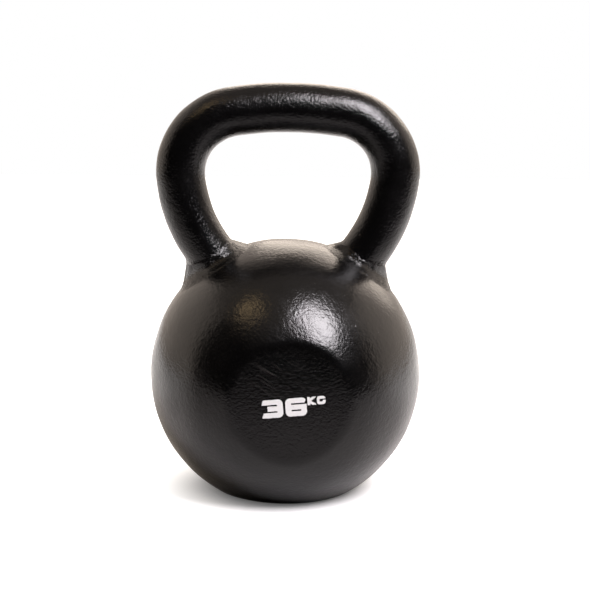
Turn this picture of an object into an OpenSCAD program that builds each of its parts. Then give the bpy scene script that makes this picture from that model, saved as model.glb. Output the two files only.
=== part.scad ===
// Kettlebell: a solid cast-iron ball with a bent round-bar handle welded to its shoulders.
// Millimetres. The origin is the centre of the flat base, +Z is up, the handle's loop
// lies in the XZ plane and the flat that carries the weight marking faces -Y.

/* [Ball] */
// Diameter of the ball
ball_dia = 207; // [180:1:250]
// Diameter of the flat that the ball stands on
base_dia = 104; // [70:1:140]
// Diameter of the flat on the front that carries the marking
front_flat_dia = 89; // [76:1:110]

/* [Handle] */
// Height of the whole kettlebell, from the floor to the top of the handle
overall_height = 312.5; // [285:0.5:380]
// Outside width of the handle
handle_width = 200; // [165:1:240]
// Diameter of the round bar
bar_dia = 37.5; // [28:0.5:46]
// Bend radius of the slightly arched grip, to the bar's centreline
crown_radius = 265; // [200:1:400]
// Bend radius of the two upper corners, to the bar's centreline
corner_radius = 47; // [38:1:58]
// Bend radius of the two legs, to the bar's centreline
leg_radius = 117.5; // [95:0.5:145]
// Angle by which each corner bend turns past upright
corner_overturn = 8; // [0:1:14]
// Depth by which the bar's skin is drawn in through the two tight corner bends
corner_draw = 0.05; // [0.03:0.01:0.3]

/* [Welds] */
// Ring left round the bar on the spot-faced seat
seat_margin = 1.5; // [0.5:0.5:4]
// Diameter of the square-cut land left in the middle of each foot
root_dia = 22; // [12:1:26]
// Height of the bevel round each foot
bevel_height = 6; // [3:0.5:10]
// Distance that each weld runs out over the ball
weld_runout = 9; // [6:0.5:13]
// Height to which each weld climbs the bar
weld_climb = 8; // [6:0.5:12]
// Radius of each weld's hollow face
weld_hollow = 16; // [12:0.5:30]

/* [Marking] */
// Height of the weight's digits
digit_height = 13.4; // [9:0.1:17]
// Width of one digit
digit_width = 15.4; // [11:0.1:18.5]
// Gap between the two digits
digit_gap = 1.8; // [0.6:0.1:3]
// Width of the digits' upright strokes
digit_stroke = 4.2; // [2.5:0.1:5]
// Width of the slits between the digits' level strokes
digit_slit = 1.2; // [0.5:0.1:1.6]
// Height of the two unit letters
unit_height = 6; // [4:0.1:7.5]
// Width of one unit letter
unit_width = 6.2; // [4.5:0.1:7.5]
// Gap in front of each unit letter
unit_gap = 0.7; // [0.4:0.1:1.2]
// Width of the unit letters' strokes
unit_stroke = 1.9; // [1.2:0.1:2.2]
// Thickness of the printed layer
print_thickness = 0.2; // [0.1:0.05:0.5]
// Angle by which the marking rises to the right
marking_tilt = 5; // [0:1:12]
// Sideways place of the digits' centre from the flat's centre
marking_x = -4.4; // [-7:0.1:0]
// Height of the digits' centre from the flat's centre
marking_z = -3.1; // [-6:0.1:6]

/* [Hidden] */
$fn = 180;

left = -1;
right = 1;

// Ball
ball_r = ball_dia / 2;
ball_z = sqrt(pow(ball_r, 2) - pow(base_dia / 2, 2));
front_flat_y = -sqrt(pow(ball_r, 2) - pow(front_flat_dia / 2, 2));

// Handle centreline. Turns are measured from +Z towards +X, in degrees.
bar_r = bar_dia / 2;
grip_z = overall_height - bar_r;
corner_x = handle_width / 2 - bar_r - corner_radius;
crown_turn = asin(corner_x / (crown_radius - corner_radius));
crown_z = grip_z - crown_radius;
corner_z = crown_z + (crown_radius - corner_radius) * cos(crown_turn);
side_turn = 90 + corner_overturn;
// Straight run that a tall handle has between each corner bend and its leg bend
ball_top = ball_z + ball_r;
leg_run = max(0, overall_height - ball_top - leg_radius - 4);
side_x = corner_x + leg_run * cos(side_turn);
side_z = corner_z - leg_run * sin(side_turn);
leg_x = side_x - (leg_radius - corner_radius) * sin(side_turn);
leg_z = side_z - (leg_radius - corner_radius) * cos(side_turn);

// Each foot stands where the leg's centreline meets the plane of its seat
seat_r = bar_r + seat_margin;
seat_depth = sqrt(pow(ball_r, 2) - pow(seat_r, 2));
leg_to_ball = norm([leg_x, leg_z - ball_z]);
foot_swing = acos((pow(leg_radius, 2) + pow(leg_to_ball, 2) - pow(seat_depth, 2)) / (2 * leg_radius * leg_to_ball));
foot_turn = atan2(-leg_x, ball_z - leg_z) - foot_swing;
foot_x = leg_x + leg_radius * sin(foot_turn);
foot_z = leg_z + leg_radius * cos(foot_turn);
foot_lean = atan2(foot_x, foot_z - ball_z);
// Extra turn that carries the leg's raw end clear through the seat plane
foot_spare = asin(bar_r / leg_radius);
// Turn by which each corner bend runs on into the bends that it joins
corner_lap = 0.6;
// Length by which a straight run goes on into the bends that it joins
run_lap = 0.5;

// Weld section, as radius and height about the seat's axis
root_r = root_dia / 2;
cutter_r = bar_r + weld_runout;
bevel_slope = bevel_height / (bar_r - root_r);
climb_toe = [bar_r, weld_climb];
runout_toe = [bar_r + weld_runout, sqrt(pow(ball_r, 2) - pow(bar_r + weld_runout, 2)) - seat_depth];
toe_span = runout_toe - climb_toe;
hollow_reach = sqrt(pow(weld_hollow, 2) - pow(norm(toe_span) / 2, 2));
hollow_centre = (climb_toe + runout_toe) / 2 + hollow_reach * [-toe_span[1], toe_span[0]] / norm(toe_span);
weld_root_depth = 4;

// Marking
digit_bar = (digit_height - 2 * digit_slit) / 3;
digit_round = 3.4;
end_cut = 1.6;
cut_spare = 1;

// Places its children on a seat, with +Z along the seat's axis and away from the ball
module at_foot(side) {
    translate([side * foot_x, 0, foot_z])
        rotate([0, side * foot_lean, 0])
            children();
}

// One bend of the round bar in the XZ plane, about the Y axis through the origin
module bend(radius, from_turn, to_turn, draw = 0) {
    rotate([90, to_turn - 90, 0])
        rotate_extrude(angle = to_turn - from_turn)
            translate([radius, 0])
                circle(r = bar_r - draw);
}

module raw_leg() {
    translate([corner_x, 0, corner_z])
        bend(corner_radius, crown_turn - corner_lap, side_turn + corner_lap, corner_draw);
    if (leg_run > 0)
        translate([corner_x + corner_radius * sin(side_turn), 0, corner_z + corner_radius * cos(side_turn)])
            rotate([0, 90 + side_turn, 0])
                translate([0, 0, -run_lap])
                    cylinder(h = leg_run + 2 * run_lap, r = bar_r - 2 * corner_draw);
    translate([leg_x, 0, leg_z])
        bend(leg_radius, side_turn, foot_turn + foot_spare);
}

// Cuts a foot square to its seat and bevels its edge for the weld
module foot_cutter() {
    translate([0, 0, -bar_dia])
        cylinder(h = bar_dia, r = cutter_r);
    rotate_extrude()
        polygon([[root_r, 0], [cutter_r, 0], [cutter_r, bevel_slope * (cutter_r - root_r)]]);
}

module ball_casting() {
    color([0.07, 0.07, 0.07])
        difference() {
            translate([0, 0, ball_z])
                sphere(r = ball_r);
            translate([-ball_r, -ball_r, -ball_r])
                cube([ball_dia, ball_dia, ball_r]);
            translate([-ball_r, front_flat_y - ball_r, 0])
                cube([ball_dia, ball_r, ball_dia]);
            for (side = [left, right])
                at_foot(side)
                    cylinder(h = ball_r - seat_depth + 1, r = seat_r);
        }
}

module handle_bar() {
    color([0.1, 0.1, 0.1])
        difference() {
            union() {
                translate([0, 0, crown_z])
                    bend(crown_radius, -crown_turn, crown_turn);
                raw_leg();
                mirror([1, 0, 0])
                    raw_leg();
            }
            for (side = [left, right])
                at_foot(side)
                    foot_cutter();
        }
}

// The ring of weld metal: its hollow face runs from the ball up on to the bar
module weld_ring() {
    rotate_extrude()
        difference() {
            polygon([
                [0, -weld_root_depth],
                [runout_toe[0], -weld_root_depth],
                runout_toe,
                climb_toe,
                [climb_toe[0], hollow_centre[1]],
                [0, hollow_centre[1]]
            ]);
            translate(hollow_centre)
                circle(r = weld_hollow);
        }
}

module weld(side) {
    color([0.13, 0.13, 0.13])
        difference() {
            at_foot(side)
                weld_ring();
            ball_casting();
            handle_bar();
        }
}

module left_weld() {
    weld(left);
}

module right_weld() {
    weld(right);
}

// A plain block with round corners, its lower left corner at the origin
module round_block(width, height, round) {
    translate([round, 0])
        square([width - 2 * round, height]);
    translate([0, round])
        square([width, height - 2 * round]);
    for (x = [round, width - round], y = [round, height - round])
        translate([x, y])
            circle(r = round);
}

// A level slit of the digits, above the given number of level strokes
module slit(from_x, to_x, strokes_below) {
    translate([from_x, strokes_below * digit_bar + (strokes_below - 1) * digit_slit])
        square([to_x - from_x, digit_slit]);
}

module digit_three() {
    difference() {
        union() {
            round_block(digit_width, digit_height, digit_round);
            square([digit_width / 2, digit_height]);
        }
        slit(-cut_spare, digit_width - digit_stroke, 1);
        slit(-cut_spare, digit_width - digit_stroke, 2);
        // The middle stroke is the short one
        translate([-cut_spare, digit_bar])
            square([digit_stroke + cut_spare, digit_bar + 2 * digit_slit]);
        // Slanted ends on the top and bottom strokes
        polygon([
            [-cut_spare, digit_height - digit_bar],
            [0, digit_height - digit_bar],
            [end_cut, digit_height + cut_spare],
            [-cut_spare, digit_height + cut_spare]
        ]);
        polygon([[-cut_spare, -cut_spare], [0, -cut_spare], [end_cut, digit_bar], [-cut_spare, digit_bar]]);
    }
}

module digit_six() {
    difference() {
        round_block(digit_width, digit_height, digit_round);
        slit(digit_stroke, digit_width + cut_spare, 2);
        slit(digit_stroke, digit_width - digit_stroke, 1);
        // Slanted end on the top stroke
        polygon([
            [digit_width - end_cut, digit_height - digit_bar - digit_slit],
            [digit_width + cut_spare, digit_height - digit_bar - digit_slit],
            [digit_width + cut_spare, digit_height + cut_spare],
            [digit_width, digit_height + cut_spare]
        ]);
    }
}

module letter_k() {
    union() {
        square([unit_stroke, unit_height]);
        polygon([
            [unit_stroke / 2, unit_height / 2],
            [unit_width - unit_stroke * 1.3, 0],
            [unit_width, 0],
            [unit_stroke * 1.7, unit_height / 2],
            [unit_width, unit_height],
            [unit_width - unit_stroke * 1.3, unit_height]
        ]);
    }
}

module letter_g() {
    difference() {
        round_block(unit_width, unit_height, unit_stroke);
        // Mouth of the letter, and the hollow behind its lower lip
        translate([unit_stroke, unit_height / 2])
            square([unit_width, unit_height / 2 - unit_stroke]);
        translate([unit_stroke, unit_stroke])
            square([unit_width - 2 * unit_stroke, unit_height - 2 * unit_stroke]);
    }
}

// Lays flat shapes on the front flat as a printed layer, about the digits' centre
module print_layer() {
    translate([marking_x, front_flat_y, ball_z + marking_z])
        rotate([90, -marking_tilt, 0])
            linear_extrude(height = print_thickness)
                children();
}

module weight_digits() {
    color([0.93, 0.93, 0.93])
        print_layer() {
            translate([-digit_gap / 2 - digit_width, -digit_height / 2])
                digit_three();
            translate([digit_gap / 2, -digit_height / 2])
                digit_six();
        }
}

module unit_letters() {
    color([0.93, 0.93, 0.93])
        print_layer()
            translate([digit_gap / 2 + digit_width + unit_gap, digit_height / 2 - unit_height]) {
                letter_k();
                translate([unit_width + unit_gap, 0])
                    letter_g();
            }
}

ball_casting();
handle_bar();
left_weld();
right_weld();
weight_digits();
unit_letters();
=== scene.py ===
"""Looks of the kettlebell: a painted iron ball, a bent-bar handle, two weld rings and a printed marking.

Everything is in metres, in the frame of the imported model: the origin is the centre of the flat base, +Z is
up, the handle's loop lies in the XZ plane and the marked flat faces -Y.
"""

from __future__ import annotations

import logging
import math
from collections.abc import Callable
from dataclasses import dataclass
from enum import Enum
from functools import cached_property

import bmesh
import bpy
import numpy as np
from mathutils import Matrix, Vector


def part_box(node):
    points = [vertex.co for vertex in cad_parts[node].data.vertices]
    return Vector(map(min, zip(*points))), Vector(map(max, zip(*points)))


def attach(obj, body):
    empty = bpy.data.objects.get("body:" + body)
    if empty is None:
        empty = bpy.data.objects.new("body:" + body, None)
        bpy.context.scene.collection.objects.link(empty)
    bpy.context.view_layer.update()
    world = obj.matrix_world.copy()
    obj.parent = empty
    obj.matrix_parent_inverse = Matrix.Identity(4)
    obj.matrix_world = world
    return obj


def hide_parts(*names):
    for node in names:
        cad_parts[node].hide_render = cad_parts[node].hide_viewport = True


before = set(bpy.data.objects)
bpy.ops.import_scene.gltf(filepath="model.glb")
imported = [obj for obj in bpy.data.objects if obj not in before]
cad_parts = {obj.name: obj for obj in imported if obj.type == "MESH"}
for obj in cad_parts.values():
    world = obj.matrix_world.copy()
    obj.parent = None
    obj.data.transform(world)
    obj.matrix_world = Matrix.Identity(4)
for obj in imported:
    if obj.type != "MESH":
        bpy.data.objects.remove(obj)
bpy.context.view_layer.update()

MM = 0.001
TURN = 2.0 * math.pi
ACROSS = np.array([0.0, 1.0, 0.0])
LEAST_SLOPE = 1e-6
LEAST_LENGTH = 1e-12
BODY = "root"
FLOAT, VECTOR = "NodeSocketFloat", "NodeSocketVector"

Pair = tuple[float, float]
Triple = tuple[float, float, float]
Colour = tuple[float, float, float, float]
Socket = bpy.types.NodeSocket

WHITE: Colour = (1.0, 1.0, 1.0, 1.0)

log = logging.getLogger("kettlebell")


class Side(Enum):
    """The two legs of the handle, as signs of X."""

    LEFT = -1
    RIGHT = 1


class Slot(Enum):
    """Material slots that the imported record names."""

    BALL = "ball_paint"
    HANDLE = "handle_paint"
    WELD = "weld_paint"
    MARKING = "marking_ink"


# ---------------------------------------------------------------- shapes


@dataclass(frozen=True)
class Waves:
    """A smooth random field, summed from plane waves in random directions.

    Attributes:
        seed: Start of the random draws.
        shortest: Shortest wavelength, in metres.
        longest: Longest wavelength, in metres.
        height: Root mean square height of the field, in metres.
        count: Number of waves.
    """

    seed: int
    shortest: float
    longest: float
    height: float
    count: int = 40

    def at(self, points: np.ndarray) -> np.ndarray:
        """Gives the field's height at each point.

        Args:
            points: Places in the row frame, one row each.

        Returns:
            One height for each point, in metres.
        """
        rng = np.random.default_rng(self.seed)
        directions = rng.normal(size=(self.count, points.shape[1]))
        directions /= np.linalg.norm(directions, axis=1, keepdims=True)
        lengths = np.exp(rng.uniform(math.log(self.shortest), math.log(self.longest), self.count))
        phases = rng.uniform(0.0, TURN, self.count)
        total = np.zeros(len(points))
        for direction, length, phase in zip(directions, lengths, phases):
            total += np.cos(points @ direction * (TURN / length) + phase)
        return self.height * total * math.sqrt(2.0 / self.count)


def smooth_min(a: np.ndarray, b: np.ndarray, blend: float) -> np.ndarray:
    """Takes the lesser of two distances, rounding the edge where they cross.

    Args:
        a: First distances.
        b: Second distances.
        blend: How far apart the two are where the rounding ends.

    Returns:
        The rounded lesser distances.
    """
    share = np.clip(0.5 + 0.5 * (b - a) / blend, 0.0, 1.0)
    return b * (1.0 - share) + a * share - blend * share * (1.0 - share)


def bell(offset: np.ndarray, width: float) -> np.ndarray:
    """Gives a bell curve, 1 at no offset and fading over the width."""
    return np.exp(-0.5 * (offset / width) ** 2)


def new_object(name: str, points: np.ndarray, faces: list) -> bpy.types.Object:
    """Makes a smooth-shaded object from points and faces and links it to the scene.

    Args:
        name: Name of the object and its mesh.
        points: Places in the row frame, one row each.
        faces: Corner numbers of each face.

    Returns:
        The new object.
    """
    mesh = bpy.data.meshes.new(name)
    mesh.from_pydata(points.tolist(), [], [list(map(int, face)) for face in faces])
    mesh.validate()
    mesh.polygons.foreach_set("use_smooth", [True] * len(mesh.polygons))
    mesh.update()
    piece = bpy.data.objects.new(name, mesh)
    bpy.context.scene.collection.objects.link(piece)
    return piece


def grid_faces(rows: int, columns: int, closed: bool) -> list:
    """Gives the quads of a grid of points that is numbered row by row.

    Args:
        rows: Number of rows of points.
        columns: Number of points in a row.
        closed: Whether each row closes on itself.

    Returns:
        Corner numbers of each quad.
    """
    spans = columns if closed else columns - 1
    row, column = np.meshgrid(np.arange(rows - 1), np.arange(spans), indexing="ij")
    following = (column + 1) % columns
    here, above = row * columns, (row + 1) * columns
    corners = [here + column, here + following, above + following, above + column]
    return np.stack([c.ravel() for c in corners], axis=1).tolist()


@dataclass
class BallCasting:
    """The solid iron ball with its flat base and its flat front.

    Attributes:
        flat_rounding: Rounding of the edge round each flat.
        front_crown: Fall of the front flat from its middle to its rim.
        crown_end: Where the fall stops, as a share of the rim's radius.
        front_sink: Depth of the front flat below its true place.
        sink: Depth of the mean skin below the true ball, which leaves room for its swells.
        swell: Slow unevenness of the skin.
        ripple: Quick unevenness of the skin.
        seam_height: Height of the ground-down parting line.
        seam_width: Width of the parting line.
        seam_left: How much of the parting line is left from place to place.
        seam_most: Most of the parting line that is left anywhere.
        cells: Cells along each side of the cube that the ball's net is blown up from.
    """

    flat_rounding: float = 1.6 * MM
    front_crown: float = 0.6 * MM
    crown_end: float = 1.3
    front_sink: float = 0.02 * MM
    sink: float = 0.25 * MM
    swell: Waves = Waves(seed=11, shortest=24 * MM, longest=60 * MM, height=0.09 * MM)
    ripple: Waves = Waves(seed=12, shortest=5 * MM, longest=11 * MM, height=0.016 * MM)
    seam_height: float = 0.10 * MM
    seam_width: float = 0.7 * MM
    seam_left: Waves = Waves(seed=13, shortest=12 * MM, longest=40 * MM, height=1.0)
    seam_most: float = 1.5
    cells: int = 128

    node = "ball_casting"

    @cached_property
    def radius(self) -> float:
        """Radius of the ball."""
        low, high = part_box(self.node)
        return (high.x - low.x) / 2.0

    @cached_property
    def centre(self) -> np.ndarray:
        """Centre of the ball."""
        return np.array([0.0, 0.0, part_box(self.node)[1].z - self.radius])

    @cached_property
    def front_flat(self) -> float:
        """Distance of the front flat from the ball's centre."""
        return -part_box(self.node)[0].y

    @cached_property
    def front_rim(self) -> float:
        """Radius of the front flat's rim."""
        return math.sqrt(self.radius**2 - self.front_flat**2)

    def net(self) -> tuple[np.ndarray, list]:
        """Blows a cube's grid up to unit directions that lie evenly over the ball.

        Returns:
            The unit directions and the quads that join them.
        """
        n = self.cells
        u, v = np.meshgrid(np.arange(n + 1), np.arange(n + 1), indexing="ij")
        u, v = u.ravel(), v.ravel()
        low, high = np.zeros_like(u), np.full_like(u, n)
        sides = [(low, v, u), (high, u, v), (u, low, v), (v, high, u), (v, u, low), (u, v, high)]
        corners = np.concatenate([np.stack(side, axis=1) for side in sides])
        unique, number = np.unique(corners, axis=0, return_inverse=True)
        quads = np.array(grid_faces(n + 1, n + 1, False))
        faces = [number.ravel()[quads + k * len(u)] for k in range(len(sides))]
        spread = np.tan((unique / n * 2.0 - 1.0) * math.pi / 4.0)
        return spread / np.linalg.norm(spread, axis=1, keepdims=True), np.concatenate(faces).tolist()

    def front(self, directions: np.ndarray) -> np.ndarray:
        """Gives the distance to the slightly crowned front flat.

        Args:
            directions: Unit directions from the ball's centre.

        Returns:
            One distance along each direction.
        """
        toward_front = np.maximum(-directions[:, 1], LEAST_SLOPE)
        distance = (self.front_flat - self.front_sink) / toward_front
        fall = np.hypot(directions[:, 0], directions[:, 2]) * distance / self.front_rim
        return distance - self.front_crown * np.minimum(fall, self.crown_end) ** 2

    def skin(self, directions: np.ndarray) -> np.ndarray:
        """Lays the casting's surface on the ball, flats and all.

        Args:
            directions: Unit directions from the ball's centre.

        Returns:
            Places on the surface.
        """
        on_ball = directions * self.radius
        seam = bell(on_ball[:, 1], self.seam_width)
        seam_left = np.clip(self.seam_left.at(directions), 0.0, self.seam_most)
        distance = self.radius - self.sink + self.swell.at(on_ball) + self.ripple.at(on_ball)
        distance = distance + self.seam_height * seam * seam_left
        floor = self.centre[2] / np.maximum(-directions[:, 2], LEAST_SLOPE)
        distance = smooth_min(distance, self.front(directions), self.flat_rounding)
        distance = smooth_min(distance, floor, self.flat_rounding)
        return self.centre + directions * distance[:, None]

    def build(self) -> bpy.types.Object:
        """Makes the ball's mesh."""
        directions, faces = self.net()
        return new_object("ball", self.skin(directions), faces)


@dataclass
class HandleBar:
    """The round bar, bent into a loop that stands on the ball.

    Attributes:
        ball: The ball that the handle stands on.
        crown_radius: Bend radius of the slightly arched grip.
        corner_radius: Bend radius of the two upper corners.
        leg_radius: Bend radius of the two legs.
        corner_overturn: Angle by which each corner turns past upright.
        seat_margin: Ring left round the bar on its seat.
        buried: Length of each foot that is hidden in the ball.
        sink: Depth of the mean skin below the true bar, which leaves room for its swells.
        swell: Slow unevenness of the skin.
        ripple: Quick unevenness of the skin.
        sides: Points round the bar.
        pitch: Distance between rings along the bar.
    """

    ball: BallCasting
    crown_radius: float = 265 * MM
    corner_radius: float = 47 * MM
    leg_radius: float = 117.5 * MM
    corner_overturn: float = math.radians(8)
    seat_margin: float = 1.5 * MM
    buried: float = 3 * MM
    sink: float = 0.3 * MM
    swell: Waves = Waves(seed=21, shortest=16 * MM, longest=50 * MM, height=0.10 * MM)
    ripple: Waves = Waves(seed=22, shortest=3.5 * MM, longest=8 * MM, height=0.02 * MM)
    sides: int = 132
    pitch: float = 1.0 * MM

    node = "handle_bar"

    def __post_init__(self) -> None:
        """Works out the centreline's bends from the frame's box."""
        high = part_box(self.node)[1]
        self.bar_radius = high.y
        grip_z = high.z - self.bar_radius
        self.corner_x = high.x - self.bar_radius - self.corner_radius
        inner_crown = self.crown_radius - self.corner_radius
        crown_turn = math.asin(self.corner_x / inner_crown)
        self.crown_z = grip_z - self.crown_radius
        self.corner_z = self.crown_z + inner_crown * math.cos(crown_turn)
        side_turn = math.pi / 2 + self.corner_overturn
        step = self.leg_radius - self.corner_radius
        self.leg_x = self.corner_x - step * math.sin(side_turn)
        self.leg_z = self.corner_z - step * math.cos(side_turn)
        foot_turn = self.foot_turn()
        lengths = [
            self.crown_radius * crown_turn,
            self.corner_radius * (side_turn - crown_turn),
            self.leg_radius * (foot_turn - side_turn),
        ]
        self.stations = np.concatenate([[0.0], np.cumsum(lengths)])
        self.turns = np.array([0.0, crown_turn, side_turn, foot_turn])

    def foot_turn(self) -> float:
        """Finds how far the bar has turned where a leg meets its seat on the ball.

        Returns:
            The turn from the middle of the grip, in radians.
        """
        seat_depth = math.sqrt(self.ball.radius**2 - (self.bar_radius + self.seat_margin) ** 2)
        drop = self.leg_z - self.ball.centre[2]
        reach = math.hypot(self.leg_x, drop)
        swing = math.acos((self.leg_radius**2 + reach**2 - seat_depth**2) / (2 * self.leg_radius * reach))
        return math.atan2(-self.leg_x, -drop) - swing

    @property
    def half_length(self) -> float:
        """Length of the centreline from the middle of the grip to a foot."""
        return float(self.stations[-1])

    def centreline(self, along: np.ndarray) -> tuple[np.ndarray, np.ndarray, np.ndarray]:
        """Follows the bar's centreline from the middle of the grip, right being positive.

        Args:
            along: Distances along the centreline.

        Returns:
            Places, outward normals in the loop's plane and directions of travel.
        """
        sign = np.where(along < 0.0, -1.0, 1.0)
        distance = np.abs(along)
        spare = np.maximum(distance - self.half_length, 0.0)
        turn = np.interp(distance, self.stations, self.turns) + spare / self.leg_radius
        bend = np.searchsorted(self.stations[1:-1], distance)
        radius = np.array([self.crown_radius, self.corner_radius, self.leg_radius])[bend]
        centre_x = np.array([0.0, self.corner_x, self.leg_x])[bend]
        centre_z = np.array([self.crown_z, self.corner_z, self.leg_z])[bend]
        level = np.zeros_like(turn)
        normal = np.stack([sign * np.sin(turn), level, np.cos(turn)], axis=1)
        travel = np.stack([np.cos(turn), level, -sign * np.sin(turn)], axis=1)
        place = np.stack([sign * centre_x, level, centre_z], axis=1) + normal * radius[:, None]
        return place, normal, travel

    def surface(self, along: np.ndarray, angle: np.ndarray) -> np.ndarray:
        """Gives places on the bar's true round surface.

        Args:
            along: Distances along the centreline.
            angle: Angles round the bar, 0 being outward in the loop's plane.

        Returns:
            One place for each pair.
        """
        place, normal, _ = self.centreline(along)
        return place + self.bar_radius * (np.cos(angle)[:, None] * normal + np.sin(angle)[:, None] * ACROSS)

    def build(self) -> bpy.types.Object:
        """Makes the bar's mesh, its ends buried in the ball.

        Returns:
            The bar.
        """
        end = self.half_length + self.buried
        rings = int(round(2 * end / self.pitch))
        angle = np.arange(self.sides) * TURN / self.sides
        s, a = np.meshgrid(np.linspace(-end, end, rings), angle, indexing="ij")
        points = self.surface(s.ravel(), a.ravel())
        middle, _, _ = self.centreline(s.ravel())
        outward = (points - middle) / self.bar_radius
        relief = self.swell.at(points) + self.ripple.at(points) - self.sink
        first = list(range(self.sides))
        last = [(rings - 1) * self.sides + k for k in range(self.sides)]
        faces = grid_faces(rings, self.sides, True) + [first[::-1], last]
        return new_object("handle", points + outward * relief[:, None], faces)


@dataclass
class WeldRing:
    """The painted-over ring of weld metal between a foot and the ball.

    Attributes:
        side: Leg that the ring goes round.
        ball: The ball under the ring.
        bar: The bar inside the ring.
        runout: How far the ring runs out over the ball.
        climb: How high the ring climbs the bar.
        outer_spread: How much farther it runs out on the side away from the grip.
        outer_climb: How much higher it climbs on the side away from the grip.
        inner_spread: How much farther it runs out on the side under the grip.
        unevenness: Root mean square change of both round the ring.
        draws_apart: Distance between the two places where that change is drawn.
        hug: How closely the hollow face follows the ball and the bar.
        outer_hug: How much less closely it does so on the side away from the grip.
        ball_sink: Depth at which the face dies away in the ball.
        bar_sink: Depth at which the face dies away in the bar.
        bead: Root mean square height of the bead marks.
        lump: Root mean square height of the lumps.
        spur: Height of the ridge that stands in the loop's plane, away from the grip.
        inner_spur: Height of the ridge under the grip, as a share of the other.
        spur_width: Width of either ridge.
        thickness: Depth of the hidden back behind the face.
        seed: Start of the random draws.
        sides: Points round the ring.
        steps: Points across the ring.
        search_below: Lowest height tried on the bar, below the foot's middle.
        search_above: Highest height tried on the bar.
        samples: Heights tried on the bar to find where the ring ends.
    """

    side: Side
    ball: BallCasting
    bar: HandleBar
    runout: float = 10.5 * MM
    climb: float = 11.0 * MM
    outer_spread: float = 9.5 * MM
    outer_climb: float = 4.0 * MM
    inner_spread: float = 2.5 * MM
    unevenness: float = 0.6 * MM
    draws_apart: float = 5.0
    hug: float = 0.36
    outer_hug: float = 0.12
    ball_sink: float = 0.4 * MM
    bar_sink: float = 0.45 * MM
    bead: float = 0.07 * MM
    lump: float = 0.09 * MM
    spur: float = 0.6 * MM
    inner_spur: float = 0.7
    spur_width: float = 0.9 * MM
    thickness: float = 2.5 * MM
    seed: int = 30
    sides: int = 240
    steps: int = 34
    search_below: float = 4 * MM
    search_above: float = 27.5 * MM
    samples: int = 60

    def __post_init__(self) -> None:
        """Finds the foot and the ring's own directions."""
        foot, _, _ = self.bar.centreline(np.array([self.side.value * self.bar.half_length]))
        self.foot = foot[0]
        rise = self.foot - self.ball.centre
        self.axis = rise / np.linalg.norm(rise)
        self.outward = np.array([self.axis[2], 0.0, -self.axis[0]]) * self.side.value
        self.angle = np.arange(self.sides) * TURN / self.sides
        self.circle = np.stack([np.cos(self.angle), np.sin(self.angle)], axis=1)
        self.facing = np.cos(self.angle)
        seed = self.seed + self.side.value
        self.wander = Waves(seed, shortest=0.5, longest=2.5, height=self.unevenness)

    def toe_on_ball(self) -> tuple[np.ndarray, np.ndarray]:
        """Finds where the ring dies away on the ball.

        Returns:
            Places on the ball and the directions in which the face leaves them.
        """
        away = self.circle[:, :1] * self.outward + self.circle[:, 1:] * ACROSS
        spread = np.where(self.facing > 0.0, self.outer_spread, self.inner_spread) * self.facing**2
        reach = self.bar.bar_radius + self.runout + spread + self.wander.at(self.circle)
        turn = (reach / self.ball.radius)[:, None]
        lift = np.cos(turn) * self.axis + np.sin(turn) * away
        inward = np.sin(turn) * self.axis - np.cos(turn) * away
        return self.ball.centre + (self.ball.radius - self.ball_sink) * lift, inward

    def toe_on_bar(self) -> tuple[np.ndarray, np.ndarray]:
        """Finds where the ring dies away on the bar.

        Returns:
            Places on the bar and the directions in which the face goes on up it.
        """
        sign = self.side.value
        heights = np.linspace(-self.search_below, self.search_above, self.samples)
        outer = self.outer_climb * np.clip(self.facing, 0.0, 1.0) ** 2
        climb = self.climb + outer + self.wander.at(self.circle + self.draws_apart)
        along = np.empty_like(self.angle)
        for k, angle in enumerate(self.angle):
            line = self.bar.surface(sign * (self.bar.half_length - heights), np.full(self.samples, angle))
            along[k] = np.interp(climb[k], (line - self.foot) @ self.axis, heights)
        station = sign * (self.bar.half_length - along)
        _, normal, travel = self.bar.centreline(station)
        outward = self.circle[:, :1] * normal + self.circle[:, 1:] * ACROSS
        return self.bar.surface(station, self.angle) - self.bar_sink * outward, -travel * sign

    def hollow(self) -> np.ndarray:
        """Sweeps the hollow face from the ball up to the bar.

        Returns:
            Places, by step across the ring and by point round it.
        """
        on_ball, inward = self.toe_on_ball()
        on_bar, upward = self.toe_on_bar()
        hug = self.hug - self.outer_hug * np.clip(self.facing, 0.0, 1.0)
        pull = (hug * np.linalg.norm(on_bar - on_ball, axis=1))[:, None]
        t = np.linspace(0.0, 1.0, self.steps)[:, None, None]
        blend = [(1 - t) ** 3, 3 * t * (1 - t) ** 2, 3 * t**2 * (1 - t), t**3]
        knots = [on_ball, on_ball + inward * pull, on_bar - upward * pull, on_bar]
        return sum(b * k[None] for b, k in zip(blend, knots))

    def normals(self, points: np.ndarray) -> np.ndarray:
        """Gives the hollow face's outward normals.

        Args:
            points: Places on the face.

        Returns:
            One unit direction for each place.
        """
        around = np.roll(points, -1, axis=1) - np.roll(points, 1, axis=1)
        normal = np.cross(around, np.gradient(points, axis=0))
        normal /= np.maximum(np.linalg.norm(normal, axis=2, keepdims=True), LEAST_LENGTH)
        core = points.mean(axis=(0, 1))
        return normal if np.sum(normal * (points - core)) >= 0 else -normal

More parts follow.
